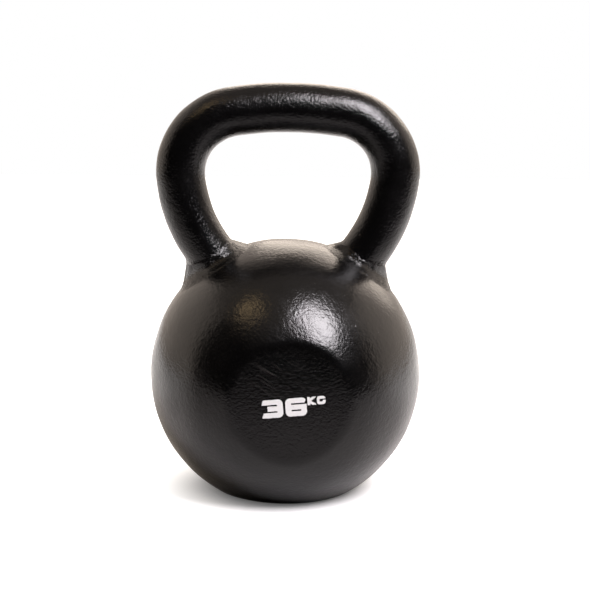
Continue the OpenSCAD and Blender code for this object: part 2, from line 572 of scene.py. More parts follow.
    def relief(self, points: np.ndarray) -> np.ndarray:
        """Gives the height of the bead marks, lumps and spurs, which fade at both toes.

        Args:
            points: Places on the face.

        Returns:
            One height for each place.
        """
        seed = self.seed + 10 + self.side.value
        flat = points.reshape(-1, 3)
        bead = Waves(seed, shortest=2.2 * MM, longest=5 * MM, height=self.bead).at(flat)
        lump = Waves(seed + 4, shortest=6 * MM, longest=14 * MM, height=self.lump).at(flat)
        middle = np.sin(math.pi * np.linspace(0.0, 1.0, self.steps))[:, None]
        rise = (bead + lump).reshape(self.steps, self.sides) * middle
        for place, share in ((0.0, 1.0), (math.pi, self.inner_spur)):
            off = (self.angle - place + math.pi) % TURN - math.pi
            ridge = bell(off * self.bar.bar_radius, self.spur_width)[None]
            rise += share * self.spur * ridge * middle**2
        return rise

    def build(self) -> bpy.types.Object:
        """Makes the ring's mesh: a hollow face with bead marks and two spurs, closed behind.

        Returns:
            The ring.
        """
        points = self.hollow()
        normal = self.normals(points)
        points = points + normal * self.relief(points)[:, :, None]
        toes = [-1, 0]
        back = points[toes] - self.thickness * normal[toes]
        faces = grid_faces(self.steps + 2, self.sides, True)
        last = (self.steps + 1) * self.sides
        for k in range(self.sides):
            following = (k + 1) % self.sides
            faces.append([last + k, last + following, following, k])
        shell = np.concatenate([points, back]).reshape(-1, 3)
        return new_object(f"{self.side.name.lower()}_weld_ring", shell, faces)


# ---------------------------------------------------------------- marking


def block(x: np.ndarray, y: np.ndarray, low: Pair, high: Pair, round_: float = 0.0) -> np.ndarray:
    """Gives the signed distance to a level rectangle, negative inside.

    Args:
        x: Sideways places.
        y: Upright places.
        low: Lower left corner.
        high: Upper right corner.
        round_: Radius of the corners.

    Returns:
        The distances.
    """
    dx = np.abs(x - (low[0] + high[0]) / 2) - (high[0] - low[0]) / 2 + round_
    dy = np.abs(y - (low[1] + high[1]) / 2) - (high[1] - low[1]) / 2 + round_
    outside = np.hypot(np.maximum(dx, 0.0), np.maximum(dy, 0.0))
    return outside + np.minimum(np.maximum(dx, dy), 0.0) - round_


def stroke(x: np.ndarray, y: np.ndarray, start: Pair, end: Pair, half: float) -> np.ndarray:
    """Gives the signed distance to a straight stroke, negative inside.

    Args:
        x: Sideways places.
        y: Upright places.
        start: Where the stroke starts.
        end: Where the stroke ends.
        half: Half of the stroke's width.

    Returns:
        The distances.
    """
    ax, ay = end[0] - start[0], end[1] - start[1]
    share = np.clip(((x - start[0]) * ax + (y - start[1]) * ay) / (ax * ax + ay * ay), 0.0, 1.0)
    return np.hypot(x - start[0] - share * ax, y - start[1] - share * ay) - half


@dataclass(frozen=True)
class DigitStyle:
    """Sizes of the plain block digits and unit letters of the marking.

    Attributes:
        height: Height of a digit.
        width: Width of a digit.
        gap: Gap between the digits.
        upright: Width of a digit's upright strokes.
        slit: Height of the slits between its level strokes.
        round_: Radius of its outer corners.
        slope: Sideways lean of its cut ends for each unit of height.
        unit_height: Height of a unit letter.
        unit_width: Width of a unit letter.
        unit_gap: Gap before each unit letter.
        unit_stroke: Width of a unit letter's strokes.
    """

    height: float = 13.4 * MM
    width: float = 15.4 * MM
    gap: float = 1.8 * MM
    upright: float = 4.2 * MM
    slit: float = 1.2 * MM
    round_: float = 3.4 * MM
    slope: float = 0.36
    unit_height: float = 6.0 * MM
    unit_width: float = 6.2 * MM
    unit_gap: float = 0.7 * MM
    unit_stroke: float = 1.9 * MM

    @property
    def bar(self) -> float:
        """Height of one level stroke of a digit."""
        return (self.height - 2 * self.slit) / 3

    def three(self, x: np.ndarray, y: np.ndarray) -> np.ndarray:
        """Gives the signed distance to the digit three.

        Args:
            x: Sideways places.
            y: Upright places.

        Returns:
            The distances.
        """
        w, h, bar = self.width, self.height, self.bar
        shape = block(x, y, (0, 0), (w, h), self.round_)
        shape = np.minimum(shape, block(x, y, (0, 0), (w / 2, h)))
        for low in (bar, 2 * bar + self.slit):
            shape = np.maximum(shape, -block(x, y, (-w, low), (w - self.upright, low + self.slit)))
        shape = np.maximum(shape, -block(x, y, (-w, bar), (self.upright, 2 * bar + 2 * self.slit)))
        lean = (self.slope * (y % (2 * (bar + self.slit))) - x) / math.hypot(1, self.slope)
        return np.maximum(shape, lean)

    def six(self, x: np.ndarray, y: np.ndarray) -> np.ndarray:
        """Gives the signed distance to the digit six.

        Args:
            x: Sideways places.
            y: Upright places.

        Returns:
            The distances.
        """
        w, h, bar = self.width, self.height, self.bar
        shape = block(x, y, (0, 0), (w, h), self.round_)
        lower, upper = bar, 2 * bar + self.slit
        shape = np.maximum(shape, -block(x, y, (self.upright, upper), (2 * w, upper + self.slit)))
        shape = np.maximum(shape, -block(x, y, (self.upright, lower), (w - self.upright, lower + self.slit)))
        cut = (x - w + self.slope * (h - y)) / math.hypot(1, self.slope)
        return np.maximum(shape, np.minimum(cut, y - upper))

    def letter_k(self, x: np.ndarray, y: np.ndarray) -> np.ndarray:
        """Gives the signed distance to the letter K.

        Args:
            x: Sideways places.
            y: Upright places.

        Returns:
            The distances.
        """
        w, h, half = self.unit_width, self.unit_height, self.unit_stroke / 2
        shape = block(x, y, (0, 0), (2 * half, h))
        for tip in (0.0, h):
            arm = stroke(x, y, (half, h / 2), (w - half, tip), half)
            shape = np.minimum(shape, np.maximum(arm, np.maximum(y - h, -y)))
        return shape

    def letter_g(self, x: np.ndarray, y: np.ndarray) -> np.ndarray:
        """Gives the signed distance to the letter G.

        Args:
            x: Sideways places.
            y: Upright places.

        Returns:
            The distances.
        """
        w, h, s = self.unit_width, self.unit_height, self.unit_stroke
        shape = block(x, y, (0, 0), (w, h), s)
        shape = np.maximum(shape, -block(x, y, (s, h / 2), (2 * w, h - s)))
        return np.maximum(shape, -block(x, y, (s, s), (w - s, h - s)))


@dataclass
class PrintedMarking:
    """The printed layer on the front flat: a plain weight number and its unit.

    Attributes:
        ball: The ball that carries the print.
        style: Sizes of the digits and letters.
        tilt: Angle by which the print rises to the right.
        centre: Sideways and upright place of the digits' centre from the flat's centre.
        cell: Size of the cells that the ragged outline is cut from.
        raggedness: Root mean square wander of the outline.
        nick_depth: Depth of the rare nicks in the outline.
        nick_rarity: Height of a random field of mean height 1 above which there is a nick.
        buried: Depth of the print's hidden part below the front flat.
        under: Depth of the print's face below its true place.
        seed: Start of the random draws.
    """

    ball: BallCasting
    style: DigitStyle = DigitStyle()
    tilt: float = math.radians(5)
    centre: Pair = (-4.4 * MM, -3.1 * MM)
    cell: float = 0.16 * MM
    raggedness: float = 0.07 * MM
    nick_depth: float = 0.35 * MM
    nick_rarity: float = 2.3
    buried: float = 0.6 * MM
    under: float = 0.02 * MM
    seed: int = 51

    node = "weight_digits"

    def worn(self, outline: Callable, x: np.ndarray, y: np.ndarray, seed: int) -> np.ndarray:
        """Roughens a clean glyph's outline with a wander and a few nicks.

        Args:
            outline: Signed distance of the clean glyph.
            x: Sideways places of a grid.
            y: Upright places of the grid.
            seed: Start of the random draws.

        Returns:
            Signed distances to the worn glyph, laid out as the grid is.
        """
        flat = np.stack([x.ravel(), y.ravel()], axis=1)
        wander = Waves(seed, shortest=0.5 * MM, longest=2.2 * MM, height=self.raggedness).at(flat)
        nick = Waves(seed + 9, shortest=0.8 * MM, longest=2.0 * MM, height=1.0).at(flat)
        nicks = self.nick_depth * np.maximum(nick - self.nick_rarity, 0.0)
        return (outline(flat[:, 0], flat[:, 1]) + wander + nicks).reshape(x.shape)

    def glyph(self, outline: Callable, left: float, bottom: float, size: Pair, seed: int) -> list:
        """Cuts one glyph from a fine grid along its worn outline.

        Args:
            outline: Signed distance of the clean glyph.
            left: Left edge from the digits' centre.
            bottom: Lower edge from the digits' centre.
            size: Width and height of the glyph.
            seed: Start of the random draws.

        Returns:
            Flat polygons, as lists of places on the flat.
        """
        spare = 3 * self.cell
        xs = np.arange(-spare, size[0] + spare, self.cell)
        ys = np.arange(-spare, size[1] + spare, self.cell)
        level = self.worn(outline, *np.meshgrid(xs, ys, indexing="ij"), seed)
        inside = level < 0
        touched = inside[:-1, :-1] | inside[1:, :-1] | inside[1:, 1:] | inside[:-1, 1:]
        cosine, sine = math.cos(self.tilt), math.sin(self.tilt)
        turn = np.array([[cosine, sine], [-sine, cosine]])
        corners = [(0, 0), (1, 0), (1, 1), (0, 1)]
        polygons = []
        for i, j in zip(*np.nonzero(touched)):
            ring = []
            for (a, b), (c, d) in zip(corners, corners[1:] + corners[:1]):
                here, there = level[i + a, j + b], level[i + c, j + d]
                p = np.array([xs[i + a], ys[j + b]])
                q = np.array([xs[i + c], ys[j + d]])
                if here < 0:
                    ring.append(p)
                if (here < 0) != (there < 0):
                    ring.append(p + (q - p) * here / (here - there))
            if len(ring) > 2:
                polygons.append((np.array(ring) + [left, bottom]) @ turn + self.centre)
        return polygons

    def build(self, name: str, polygons: list) -> bpy.types.Object:
        """Makes one piece of the print.

        Args:
            name: Name of the piece.
            polygons: Flat polygons of its glyphs.

        Returns:
            The piece, a thin closed layer on the front flat.
        """
        front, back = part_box(self.node)[0].y, -self.ball.front_flat + self.buried
        up = self.ball.centre[2]
        sheet = bmesh.new()
        for polygon in polygons:
            sheet.faces.new([sheet.verts.new((p[0], back, p[1] + up)) for p in polygon])
        bmesh.ops.remove_doubles(sheet, verts=sheet.verts, dist=self.cell * 0.02)
        grown = bmesh.ops.extrude_face_region(sheet, geom=list(sheet.faces))
        moved = [v for v in grown["geom"] if isinstance(v, bmesh.types.BMVert)]
        bmesh.ops.translate(sheet, verts=moved, vec=(0, front - back - self.under, 0))
        bmesh.ops.recalc_face_normals(sheet, faces=sheet.faces)
        mesh = bpy.data.meshes.new(name)
        sheet.to_mesh(mesh)
        sheet.free()
        piece = bpy.data.objects.new(name, mesh)
        bpy.context.scene.collection.objects.link(piece)
        return piece

    def number(self) -> bpy.types.Object:
        """Makes the weight number.

        Returns:
            The two digits, as one piece.
        """
        s = self.style
        bottom = -s.height / 2
        size = (s.width, s.height)
        polygons = self.glyph(s.three, -s.gap / 2 - s.width, bottom, size, self.seed)
        polygons += self.glyph(s.six, s.gap / 2, bottom, size, self.seed + 1)
        return self.build("number_print", polygons)

    def unit(self) -> bpy.types.Object:
        """Makes the unit.

        Returns:
            The two letters, as one piece.
        """
        s = self.style
        left = s.gap / 2 + s.width + s.unit_gap
        bottom = s.height / 2 - s.unit_height
        size = (s.unit_width, s.unit_height)
        polygons = self.glyph(s.letter_k, left, bottom, size, self.seed + 2)
        polygons += self.glyph(s.letter_g, left + s.unit_width + s.unit_gap, bottom, size, self.seed + 3)
        return self.build("unit_print", polygons)


# ---------------------------------------------------------------- finishes


class Shading:
    """A short way to lay out the nodes of a material, a world or a group."""

    def __init__(self, tree: bpy.types.NodeTree) -> None:
        """Keeps the tree that the nodes go in."""
        self.tree = tree

    def node(self, kind: str, inputs: dict | None = None, **settings: object) -> bpy.types.Node:
        """Adds a node.

        Args:
            kind: Blender's name of the node's type.
            inputs: Value or source socket of each input, by name or number.
            **settings: Properties of the node itself.

        Returns:
            The node.
        """
        made = self.tree.nodes.new(kind)
        for key, value in settings.items():
            setattr(made, key, value)
        for key, value in (inputs or {}).items():
            if isinstance(value, Socket):
                self.tree.links.new(value, made.inputs[key])
            else:
                made.inputs[key].default_value = value
        return made

    def math(self, operation: str, a: object, b: object = 0.0, clamp: bool = False) -> Socket:
        """Adds a sum and gives its result."""
        return self.node("ShaderNodeMath", {0: a, 1: b}, operation=operation, use_clamp=clamp).outputs[0]

    def vector(self, operation: str, a: object, b: object) -> Socket:
        """Adds a sum of two vectors and gives its result."""
        return self.node("ShaderNodeVectorMath", {0: a, 1: b}, operation=operation).outputs[0]

    def length(self, vector: Socket) -> Socket:
        """Gives the length of a vector."""
        return self.node("ShaderNodeVectorMath", {0: vector}, operation="LENGTH").outputs["Value"]

    def ramp(self, value: object, span: Pair, to: Pair = (0.0, 1.0)) -> Socket:
        """Maps a value from one span to another, smoothly and with both ends held.

        Args:
            value: The value.
            span: Where the change starts and ends.
            to: What the result is at the start and at the end.

        Returns:
            The mapped value.
        """
        inputs = {"Value": value, "From Min": span[0], "From Max": span[1], "To Min": to[0], "To Max": to[1]}
        return self.node("ShaderNodeMapRange", inputs, interpolation_type="SMOOTHSTEP").outputs[0]

    def noise(self, where: object, size: object, detail: float, rough: float) -> Socket:
        """Adds a cloudy noise.

        Args:
            where: Place that the noise is read at.
            size: About the size of its lumps.
            detail: Number of finer layers.
            rough: Strength of each finer layer.

        Returns:
            The noise, about 0.5 on average.
        """
        scale = self.math("DIVIDE", 1.0, size) if isinstance(size, Socket) else 1.0 / size
        inputs = {"Vector": where, "Scale": scale, "Detail": detail, "Roughness": rough}
        return self.node("ShaderNodeTexNoise", inputs).outputs["Fac"]

    def dots(self, where: object, size: object, edge: Pair, rarity: Pair, channel: int) -> Socket:
        """Strews small round dots, one in a few of the cells that it splits space into.

        Args:
            where: Place that the dots are read at.
            size: Size of the cells.
            edge: Where a dot's edge fades, as shares of a cell.
            rarity: Span of a cell's random number over which its dot comes in.
            channel: Which of a cell's three random numbers decides.

        Returns:
            The dots, from 0 to 1.
        """
        scale = self.math("DIVIDE", 1.0, size)
        cells = self.node("ShaderNodeTexVoronoi", {"Vector": where, "Scale": scale})
        chance = self.node("ShaderNodeSeparateColor", {0: cells.outputs["Color"]}).outputs[channel]
        dot = self.ramp(cells.outputs["Distance"], edge, (1.0, 0.0))
        return self.math("MULTIPLY", dot, self.ramp(chance, rarity))

    def mix(self, share: object, a: object, b: object) -> Socket:
        """Mixes two colours."""
        return self.node("ShaderNodeMix", {0: share, 6: a, 7: b}, data_type="RGBA").outputs[2]


def new_group(name: str, inputs: dict, outputs: dict) -> tuple[Shading, dict, bpy.types.Node]:
    """Starts a node group with named sockets.

    Args:
        name: Name of the group.
        inputs: Socket type and default value of each input.
        outputs: Socket type of each output.

    Returns:
        The group's shading, the sockets that bring its inputs and its output node.
    """
    tree = bpy.data.node_groups.new(name, "ShaderNodeTree")
    for socket, (kind, value) in inputs.items():
        made = tree.interface.new_socket(name=socket, in_out="INPUT", socket_type=kind)
        if value is not None:
            made.default_value = value
    for socket, kind in outputs.items():
        tree.interface.new_socket(name=socket, in_out="OUTPUT", socket_type=kind)
    given = tree.nodes.new("NodeGroupInput").outputs
    return Shading(tree), {socket: given[socket] for socket in inputs}, tree.nodes.new("NodeGroupOutput")


def new_material(name: str) -> tuple[bpy.types.Material, Shading]:
    """Starts a material without nodes.

    Args:
        name: Name of the material.

    Returns:
        The material and its shading.
    """
    material = bpy.data.materials.new(name)
    material.use_nodes = True
    material.node_tree.nodes.clear()
    return material, Shading(material.node_tree)


@dataclass(frozen=True)
class CastSkin:
    """The effect of a painted sand-cast skin: orange peel, fine grain and pits.

    Attributes:
        pit_edge: Where a pit's edge fades, as shares of its cell.
        pit_rarity: Span of a cell's random number over which its pit comes in.
        tone_size: Size of the cloudy change of gloss.
    """

    pit_edge: Pair = (0.05, 0.16)
    pit_rarity: Pair = (0.72, 0.80)
    tone_size: float = 22 * MM

    def group(self) -> bpy.types.NodeTree:
        """Makes the effect's node group.

        Returns:
            The group, which puts out a height and a tone.
        """
        inputs = {
            "Place": (VECTOR, None),
            "Peel Size": (FLOAT, 2 * MM),
            "Peel Depth": (FLOAT, 0.05 * MM),
            "Grain Size": (FLOAT, 0.5 * MM),
            "Grain Depth": (FLOAT, 0.01 * MM),
            "Pit Size": (FLOAT, 6 * MM),
            "Pit Depth": (FLOAT, 0.1 * MM),
        }
        s, given, result = new_group("cast_skin", inputs, {"Height": FLOAT, "Tone": FLOAT})
        place = given["Place"]
        peel = s.noise(place, given["Peel Size"], detail=2.0, rough=0.5)
        grain = s.noise(place, given["Grain Size"], detail=2.0, rough=0.6)
        pits = s.dots(place, given["Pit Size"], self.pit_edge, self.pit_rarity, channel=0)
        height = s.math("MULTIPLY", peel, given["Peel Depth"])
        height = s.math("ADD", height, s.math("MULTIPLY", grain, given["Grain Depth"]))
        height = s.math("SUBTRACT", height, s.math("MULTIPLY", pits, given["Pit Depth"]))
        tone = s.noise(place, self.tone_size, detail=4.0, rough=0.6)
        s.tree.links.new(height, result.inputs["Height"])
        s.tree.links.new(tone, result.inputs["Tone"])
        return s.tree


@dataclass(frozen=True)
class HandlingWear:
    """The effect of handling: dust specks and faint scuffs.

    Attributes:
        speck_edge: Where a speck's edge fades, as shares of its cell.
        speck_rarity: Span of a cell's random number over which its speck comes in.
        stretch: How a scuff is squeezed along each axis.
        streak_size: Size of the streaks in a scuff.
        streak_span: Span of the noise over which a streak comes in.
        patch_size: Size of the scuffed patches.
        patch_span: Span of the noise over which a patch comes in.
    """

    speck_edge: Pair = (0.05, 0.13)
    speck_rarity: Pair = (0.88, 0.93)
    stretch: Triple = (1.0, 1.0, 3.5)
    streak_size: float = 1.8 * MM
    streak_span: Pair = (0.62, 0.74)
    patch_size: float = 26 * MM
    patch_span: Pair = (0.55, 0.72)

    def group(self) -> bpy.types.NodeTree:
        """Makes the effect's node group.

        Returns:
            The group, which puts out masks of the specks and the scuffs.
        """
        inputs = {"Place": (VECTOR, None), "Speck Size": (FLOAT, 5 * MM), "Amount": (FLOAT, 0.5)}
        s, given, result = new_group("handling_wear", inputs, {"Specks": FLOAT, "Scuffs": FLOAT})
        place, amount = given["Place"], given["Amount"]
        dots = s.dots(place, given["Speck Size"], self.speck_edge, self.speck_rarity, channel=1)
        drawn = s.vector("MULTIPLY", place, self.stretch)
        streaks = s.ramp(s.noise(drawn, self.streak_size, detail=3.0, rough=0.7), self.streak_span)
        patches = s.ramp(s.noise(place, self.patch_size, detail=2.0, rough=0.5), self.patch_span)
        specks = s.math("MULTIPLY", dots, amount, clamp=True)
        scuffs = s.math("MULTIPLY", s.math("MULTIPLY", streaks, patches), amount, clamp=True)
        s.tree.links.new(specks, result.inputs["Specks"])
        s.tree.links.new(scuffs, result.inputs["Scuffs"])
        return s.tree


@dataclass(frozen=True)
class FineScratches:
    """The effect of fine slanting scratches, kept to a patch round a middle point.

    Attributes:
        stretch: How a scratch is squeezed along each of its own axes.
        line_size: Width of the scratches.
        line_span: Span of the noise over which a scratch comes in.
    """

    stretch: Triple = (0.05, 0.2, 1.0)
    line_size: float = 1.6 * MM
    line_span: Pair = (0.55, 0.66)

    def group(self) -> bpy.types.NodeTree:
        """Makes the effect's node group.

        Returns:
            The group, which puts out a mask of the scratches.
        """
        inputs = {
            "Place": (VECTOR, None),
            "Middle": (VECTOR, None),
            "Reach": (FLOAT, 24 * MM),
            "Slant": (FLOAT, -0.6),
        }
        s, given, result = new_group("fine_scratches", inputs, {"Scratches": FLOAT})
        local = s.vector("SUBTRACT", given["Place"], given["Middle"])
        turn = {"Vector": local, "Angle": given["Slant"]}
        turned = s.node("ShaderNodeVectorRotate", turn, rotation_type="Y_AXIS").outputs[0]
        drawn = s.vector("MULTIPLY", turned, self.stretch)
        lines = s.ramp(s.noise(drawn, self.line_size, detail=2.0, rough=0.6), self.line_span)
        away = s.math("DIVIDE", s.length(local), given["Reach"])
        near = s.math("SUBTRACT", 1.0, away, clamp=True)
        s.tree.links.new(s.math("MULTIPLY", lines, near, clamp=True), result.inputs["Scratches"])
        return s.tree


class Effects:
    """The effects that the paints share, each built once."""

    def __init__(self) -> None:
        """Builds the node groups."""
        self.skin = CastSkin().group()
        self.wear = HandlingWear().group()
        self.scratches = FineScratches().group()


@dataclass(frozen=True)
class BlackPaint:
    """Black satin paint over iron.

    Attributes:
        name: Name of the material.
        colour: Colour of clean paint.
        dusty: Colour of dust and scuffed paint.
        roughness: Roughness of the paint on smooth metal.
        roughness_spread: How far the roughness wanders.
        ior: How strongly the paint mirrors.
        peel_size: Size of the orange peel.
        peel_depth: Depth of the orange peel.
        grain_size: Size of the fine grain.
        grain_depth: Depth of the fine grain.
        pit_depth: Depth of the casting pits.
        wear: Amount of dust and scuffs, from 0 to 1.
        scuff_share: How much a scuff pales and roughens the paint.
        scratches: Strength of the scratches above the marking, from 0 to 1.
        scratch_middle: Middle of the scratched patch.
    """

    name: str
    colour: Colour = (0.0016, 0.0015, 0.0016, 1.0)
    dusty: Colour = (0.055, 0.052, 0.05, 1.0)
    roughness: float = 0.225
    roughness_spread: float = 0.035
    ior: float = 1.5
    peel_size: float = 3.2 * MM
    peel_depth: float = 0.13 * MM
    grain_size: float = 1.9 * MM
    grain_depth: float = 0.20 * MM
    pit_depth: float = 0.08 * MM
    wear: float = 0.5
    scuff_share: float = 0.25
    scratches: float = 0.0
    scratch_middle: Triple = (-10 * MM, -93 * MM, 110 * MM)

    def make(self, effects: Effects) -> bpy.types.Material:
        """Makes the material.

        Args:
            effects: The shared effects.

        Returns:
            The material.
        """
        material, s = new_material(self.name)
        place = s.node("ShaderNodeTexCoord").outputs["Object"]
        skin = {
            "Place": place,
            "Peel Size": self.peel_size,
            "Peel Depth": self.peel_depth,
            "Grain Size": self.grain_size,
            "Grain Depth": self.grain_depth,
            "Pit Depth": self.pit_depth,
        }
        cast = s.node("ShaderNodeGroup", skin, node_tree=effects.skin).outputs
        wear = {"Place": place, "Amount": self.wear}
        worn = s.node("ShaderNodeGroup", wear, node_tree=effects.wear).outputs
        patch = {"Place": place, "Middle": self.scratch_middle}
        scored = s.node("ShaderNodeGroup", patch, node_tree=effects.scratches).outputs
        scuffs = s.math("MULTIPLY", worn["Scuffs"], self.scuff_share)
        dust = s.math("ADD", worn["Specks"], scuffs, clamp=True)
        scores = s.math("MULTIPLY", scored["Scratches"], self.scratches)
        colour = s.mix(s.math("ADD", dust, scores, clamp=True), self.colour, self.dusty)
        spread = (self.roughness - self.roughness_spread, self.roughness + self.roughness_spread)
        rough = s.math("ADD", s.ramp(cast["Tone"], (0.3, 0.7), spread), scuffs, clamp=True)
        bump = s.node("ShaderNodeBump", {"Height": cast["Height"], "Distance": 1.0}).outputs[0]
        inputs = {"Base Color": colour, "Roughness": rough, "IOR": self.ior, "Normal": bump}
        shader = s.node("ShaderNodeBsdfPrincipled", inputs).outputs[0]
        s.node("ShaderNodeOutputMaterial", {"Surface": shader})
        return material


@dataclass(frozen=True)
class PrintInk:
    """Matt white screen-printed ink.

    Attributes:
        name: Name of the material.
        colour: Colour of full ink.
        thin: Colour where the ink is thin.
        thin_size: Size of the thin places.
        thin_span: Span of the noise over which the ink thins.
        roughness: Roughness of the ink.
        roughness_spread: How far the roughness wanders.
        grain_size: Size of the ink's grain.
        grain_depth: Depth of the ink's grain.
    """

    name: str = "white_ink"
    colour: Colour = (0.86, 0.86, 0.85, 1.0)
    thin: Colour = (0.45, 0.44, 0.44, 1.0)
    thin_size: float = 1.6 * MM
    thin_span: Pair = (0.64, 0.80)
    roughness: float = 0.55
    roughness_spread: float = 0.08
    grain_size: float = 0.5 * MM
    grain_depth: float = 0.02 * MM

    def make(self) -> bpy.types.Material:
        """Makes the material, its ink a little thin in places.

        Returns:
            The material.
        """
        material, s = new_material(self.name)
        place = s.node("ShaderNodeTexCoord").outputs["Object"]
        thin = s.ramp(s.noise(place, self.thin_size, detail=3.0, rough=0.6), self.thin_span)
        colour = s.mix(thin, self.colour, self.thin)
        grain = s.noise(place, self.grain_size, detail=2.0, rough=0.6)
        spread = (self.roughness - self.roughness_spread, self.roughness + self.roughness_spread)
        rough = s.ramp(grain, (0.3, 0.7), spread)
        bump = s.node("ShaderNodeBump", {"Height": grain, "Distance": self.grain_depth}).outputs[0]
        inputs = {"Base Color": colour, "Roughness": rough, "Normal": bump}
        shader = s.node("ShaderNodeBsdfPrincipled", inputs).outputs[0]
        s.node("ShaderNodeOutputMaterial", {"Surface": shader})
        return material


# ---------------------------------------------------------------- studio


def toward(elevation: float, azimuth: float) -> Vector:
    """Gives the direction that lies at an elevation and an azimuth.

    Args:
        elevation: Angle above the floor, in degrees.
        azimuth: Angle from -Y towards +X, in degrees.

    Returns:
        The unit direction.
    """
    e, a = math.radians(elevation), math.radians(azimuth)
    return Vector((math.cos(e) * math.sin(a), -math.cos(e) * math.cos(a), math.sin(e)))


def look_from(place: Vector, target: Vector, roll: float = 0.0) -> Matrix:
    """Gives the matrix of something at a place that looks at a target.

    Args:
        place: Where it is.
        target: What it looks at.
        roll: Turn about its own line of sight.

    Returns:
        The matrix.
    """
    turn = (target - place).to_track_quat("-Z", "Y").to_matrix().to_4x4()
    return Matrix.Translation(place) @ turn @ Matrix.Rotation(roll, 4, "Z")


@dataclass(frozen=True)
class Camera:
    """The camera.

    Attributes:
        target: What it looks at.
        distance: Distance from the target.
        elevation: Angle above the floor, in degrees.
        azimuth: Angle from -Y towards +X, in degrees.
        roll: Turn about its line of sight, in degrees.
        lens: Focal length, in millimetres.
        sensor: Width of the sensor, in millimetres.
    """

    target: Triple = (0.0066, 0.0, 0.1504)
    distance: float = 1.4068
    elevation: float = 11.69
    azimuth: float = -2.79
    roll: float = 0.93
    lens: float = 112.27
    sensor: float = 36.0

    def build(self) -> None:
        """Makes the camera and hands it to the scene."""
        data = bpy.data.cameras.new("camera")
        data.lens = self.lens
        data.sensor_width = self.sensor
        camera = bpy.data.objects.new("camera", data)
        target = Vector(self.target)
        place = target + toward(self.elevation, self.azimuth) * self.distance
        camera.matrix_world = look_from(place, target, math.radians(self.roll))
        bpy.context.scene.collection.objects.link(camera)
        bpy.context.scene.camera = camera


@dataclass(frozen=True)
class Paper:
    """The white paper floor, which ends a little way in front of the piece.

    Attributes:
        front: Place of its front edge.
        back: Place of its back edge.
        half: Half of its width.
        points: Points along each edge.
        seen: Whiteness of the paper as the camera meters it.
        bounce: Whiteness of the paper as it lights the piece, in front of it and beside it; the dimmer
            paper in front is painted shade.
        bounce_span: Depths between which the painted shade in front turns to the white beside.
        fleck_size: Size of the paper's flecks.
        fleck: Strength of the paper's flecks.
        clear_span: Distances from the middle between which the contact shadow clears.
        glow: Light behind the paper at the middle and beyond the shadow.
        mirror_span: Distances from the middle between which the mirrored paper brightens.
        mirror_depth: Depths between which the mirrored paper brightens.
        mirror_glow: Light behind the paper as glossy things mirror it.
    """

    front: float = -0.405
    back: float = 1.7
    half: float = 1.6
    points: int = 9
    seen: float = 0.78
    bounce: Pair = (0.32, 0.80)
    bounce_span: Pair = (-0.23, 0.04)
    fleck_size: float = 4 * MM
    fleck: float = 0.02
    clear_span: Pair = (0.045, 0.108)
    glow: Pair = (0.08, 1.0)
    mirror_span: Pair = (0.16, 0.45)
    mirror_depth: Pair = (-0.10, 0.15)
    mirror_glow: float = 0.65

    def material(self) -> bpy.types.Material:
        """Makes the white paper, which cameras and glossy things see lit from behind.

        Returns:
            The material.
        """
        material, s = new_material("white_paper")
        place = s.node("ShaderNodeTexCoord").outputs["Object"]
        path = s.node("ShaderNodeLightPath").outputs
        depth = s.node("ShaderNodeSeparateXYZ", {0: place}).outputs[1]
        away = s.length(place)
        fleck = s.ramp(s.noise(place, self.fleck_size, detail=3.0, rough=0.5), (0.3, 0.7), (0.0, self.fleck))
        seen = s.math("MULTIPLY", path["Is Camera Ray"], self.seen)
        # painted shade: apart from camera rays, the paper is dimmer in front of the piece than beside it
        bounce = s.ramp(depth, self.bounce_span, self.bounce)
        pale = s.math("ADD", fleck, s.math("MAXIMUM", bounce, seen))
        colour = s.node("ShaderNodeCombineColor", {0: pale, 1: pale, 2: pale}).outputs[0]
        diffuse = s.node("ShaderNodeBsdfDiffuse", {"Color": colour}).outputs[0]
        bright = s.math("MULTIPLY", path["Is Camera Ray"], s.ramp(away, self.clear_span, self.glow))
        behind = s.ramp(depth, self.mirror_depth, (0.0, self.mirror_glow))
        beyond = s.math("MULTIPLY", s.ramp(away, self.mirror_span), behind)
        mirrored = s.math("MULTIPLY", path["Is Glossy Ray"], beyond)
        strength = s.math("ADD", bright, mirrored)
        glow = s.node("ShaderNodeEmission", {"Color": WHITE, "Strength": strength}).outputs[0]
        both = s.node("ShaderNodeAddShader", {0: diffuse, 1: glow}).outputs[0]
        s.node("ShaderNodeOutputMaterial", {"Surface": both})
        return material

    def build(self) -> None:
        """Lays the paper."""
        x = np.linspace(-self.half, self.half, self.points)
        y = np.linspace(self.front, self.back, self.points)
        across, along = np.meshgrid(x, y)
        points = np.stack([across, along, np.zeros_like(across)], axis=-1).reshape(-1, 3)
        floor = new_object("paper_sweep", points, grid_faces(self.points, self.points, False))
        floor.data.materials.append(self.material())


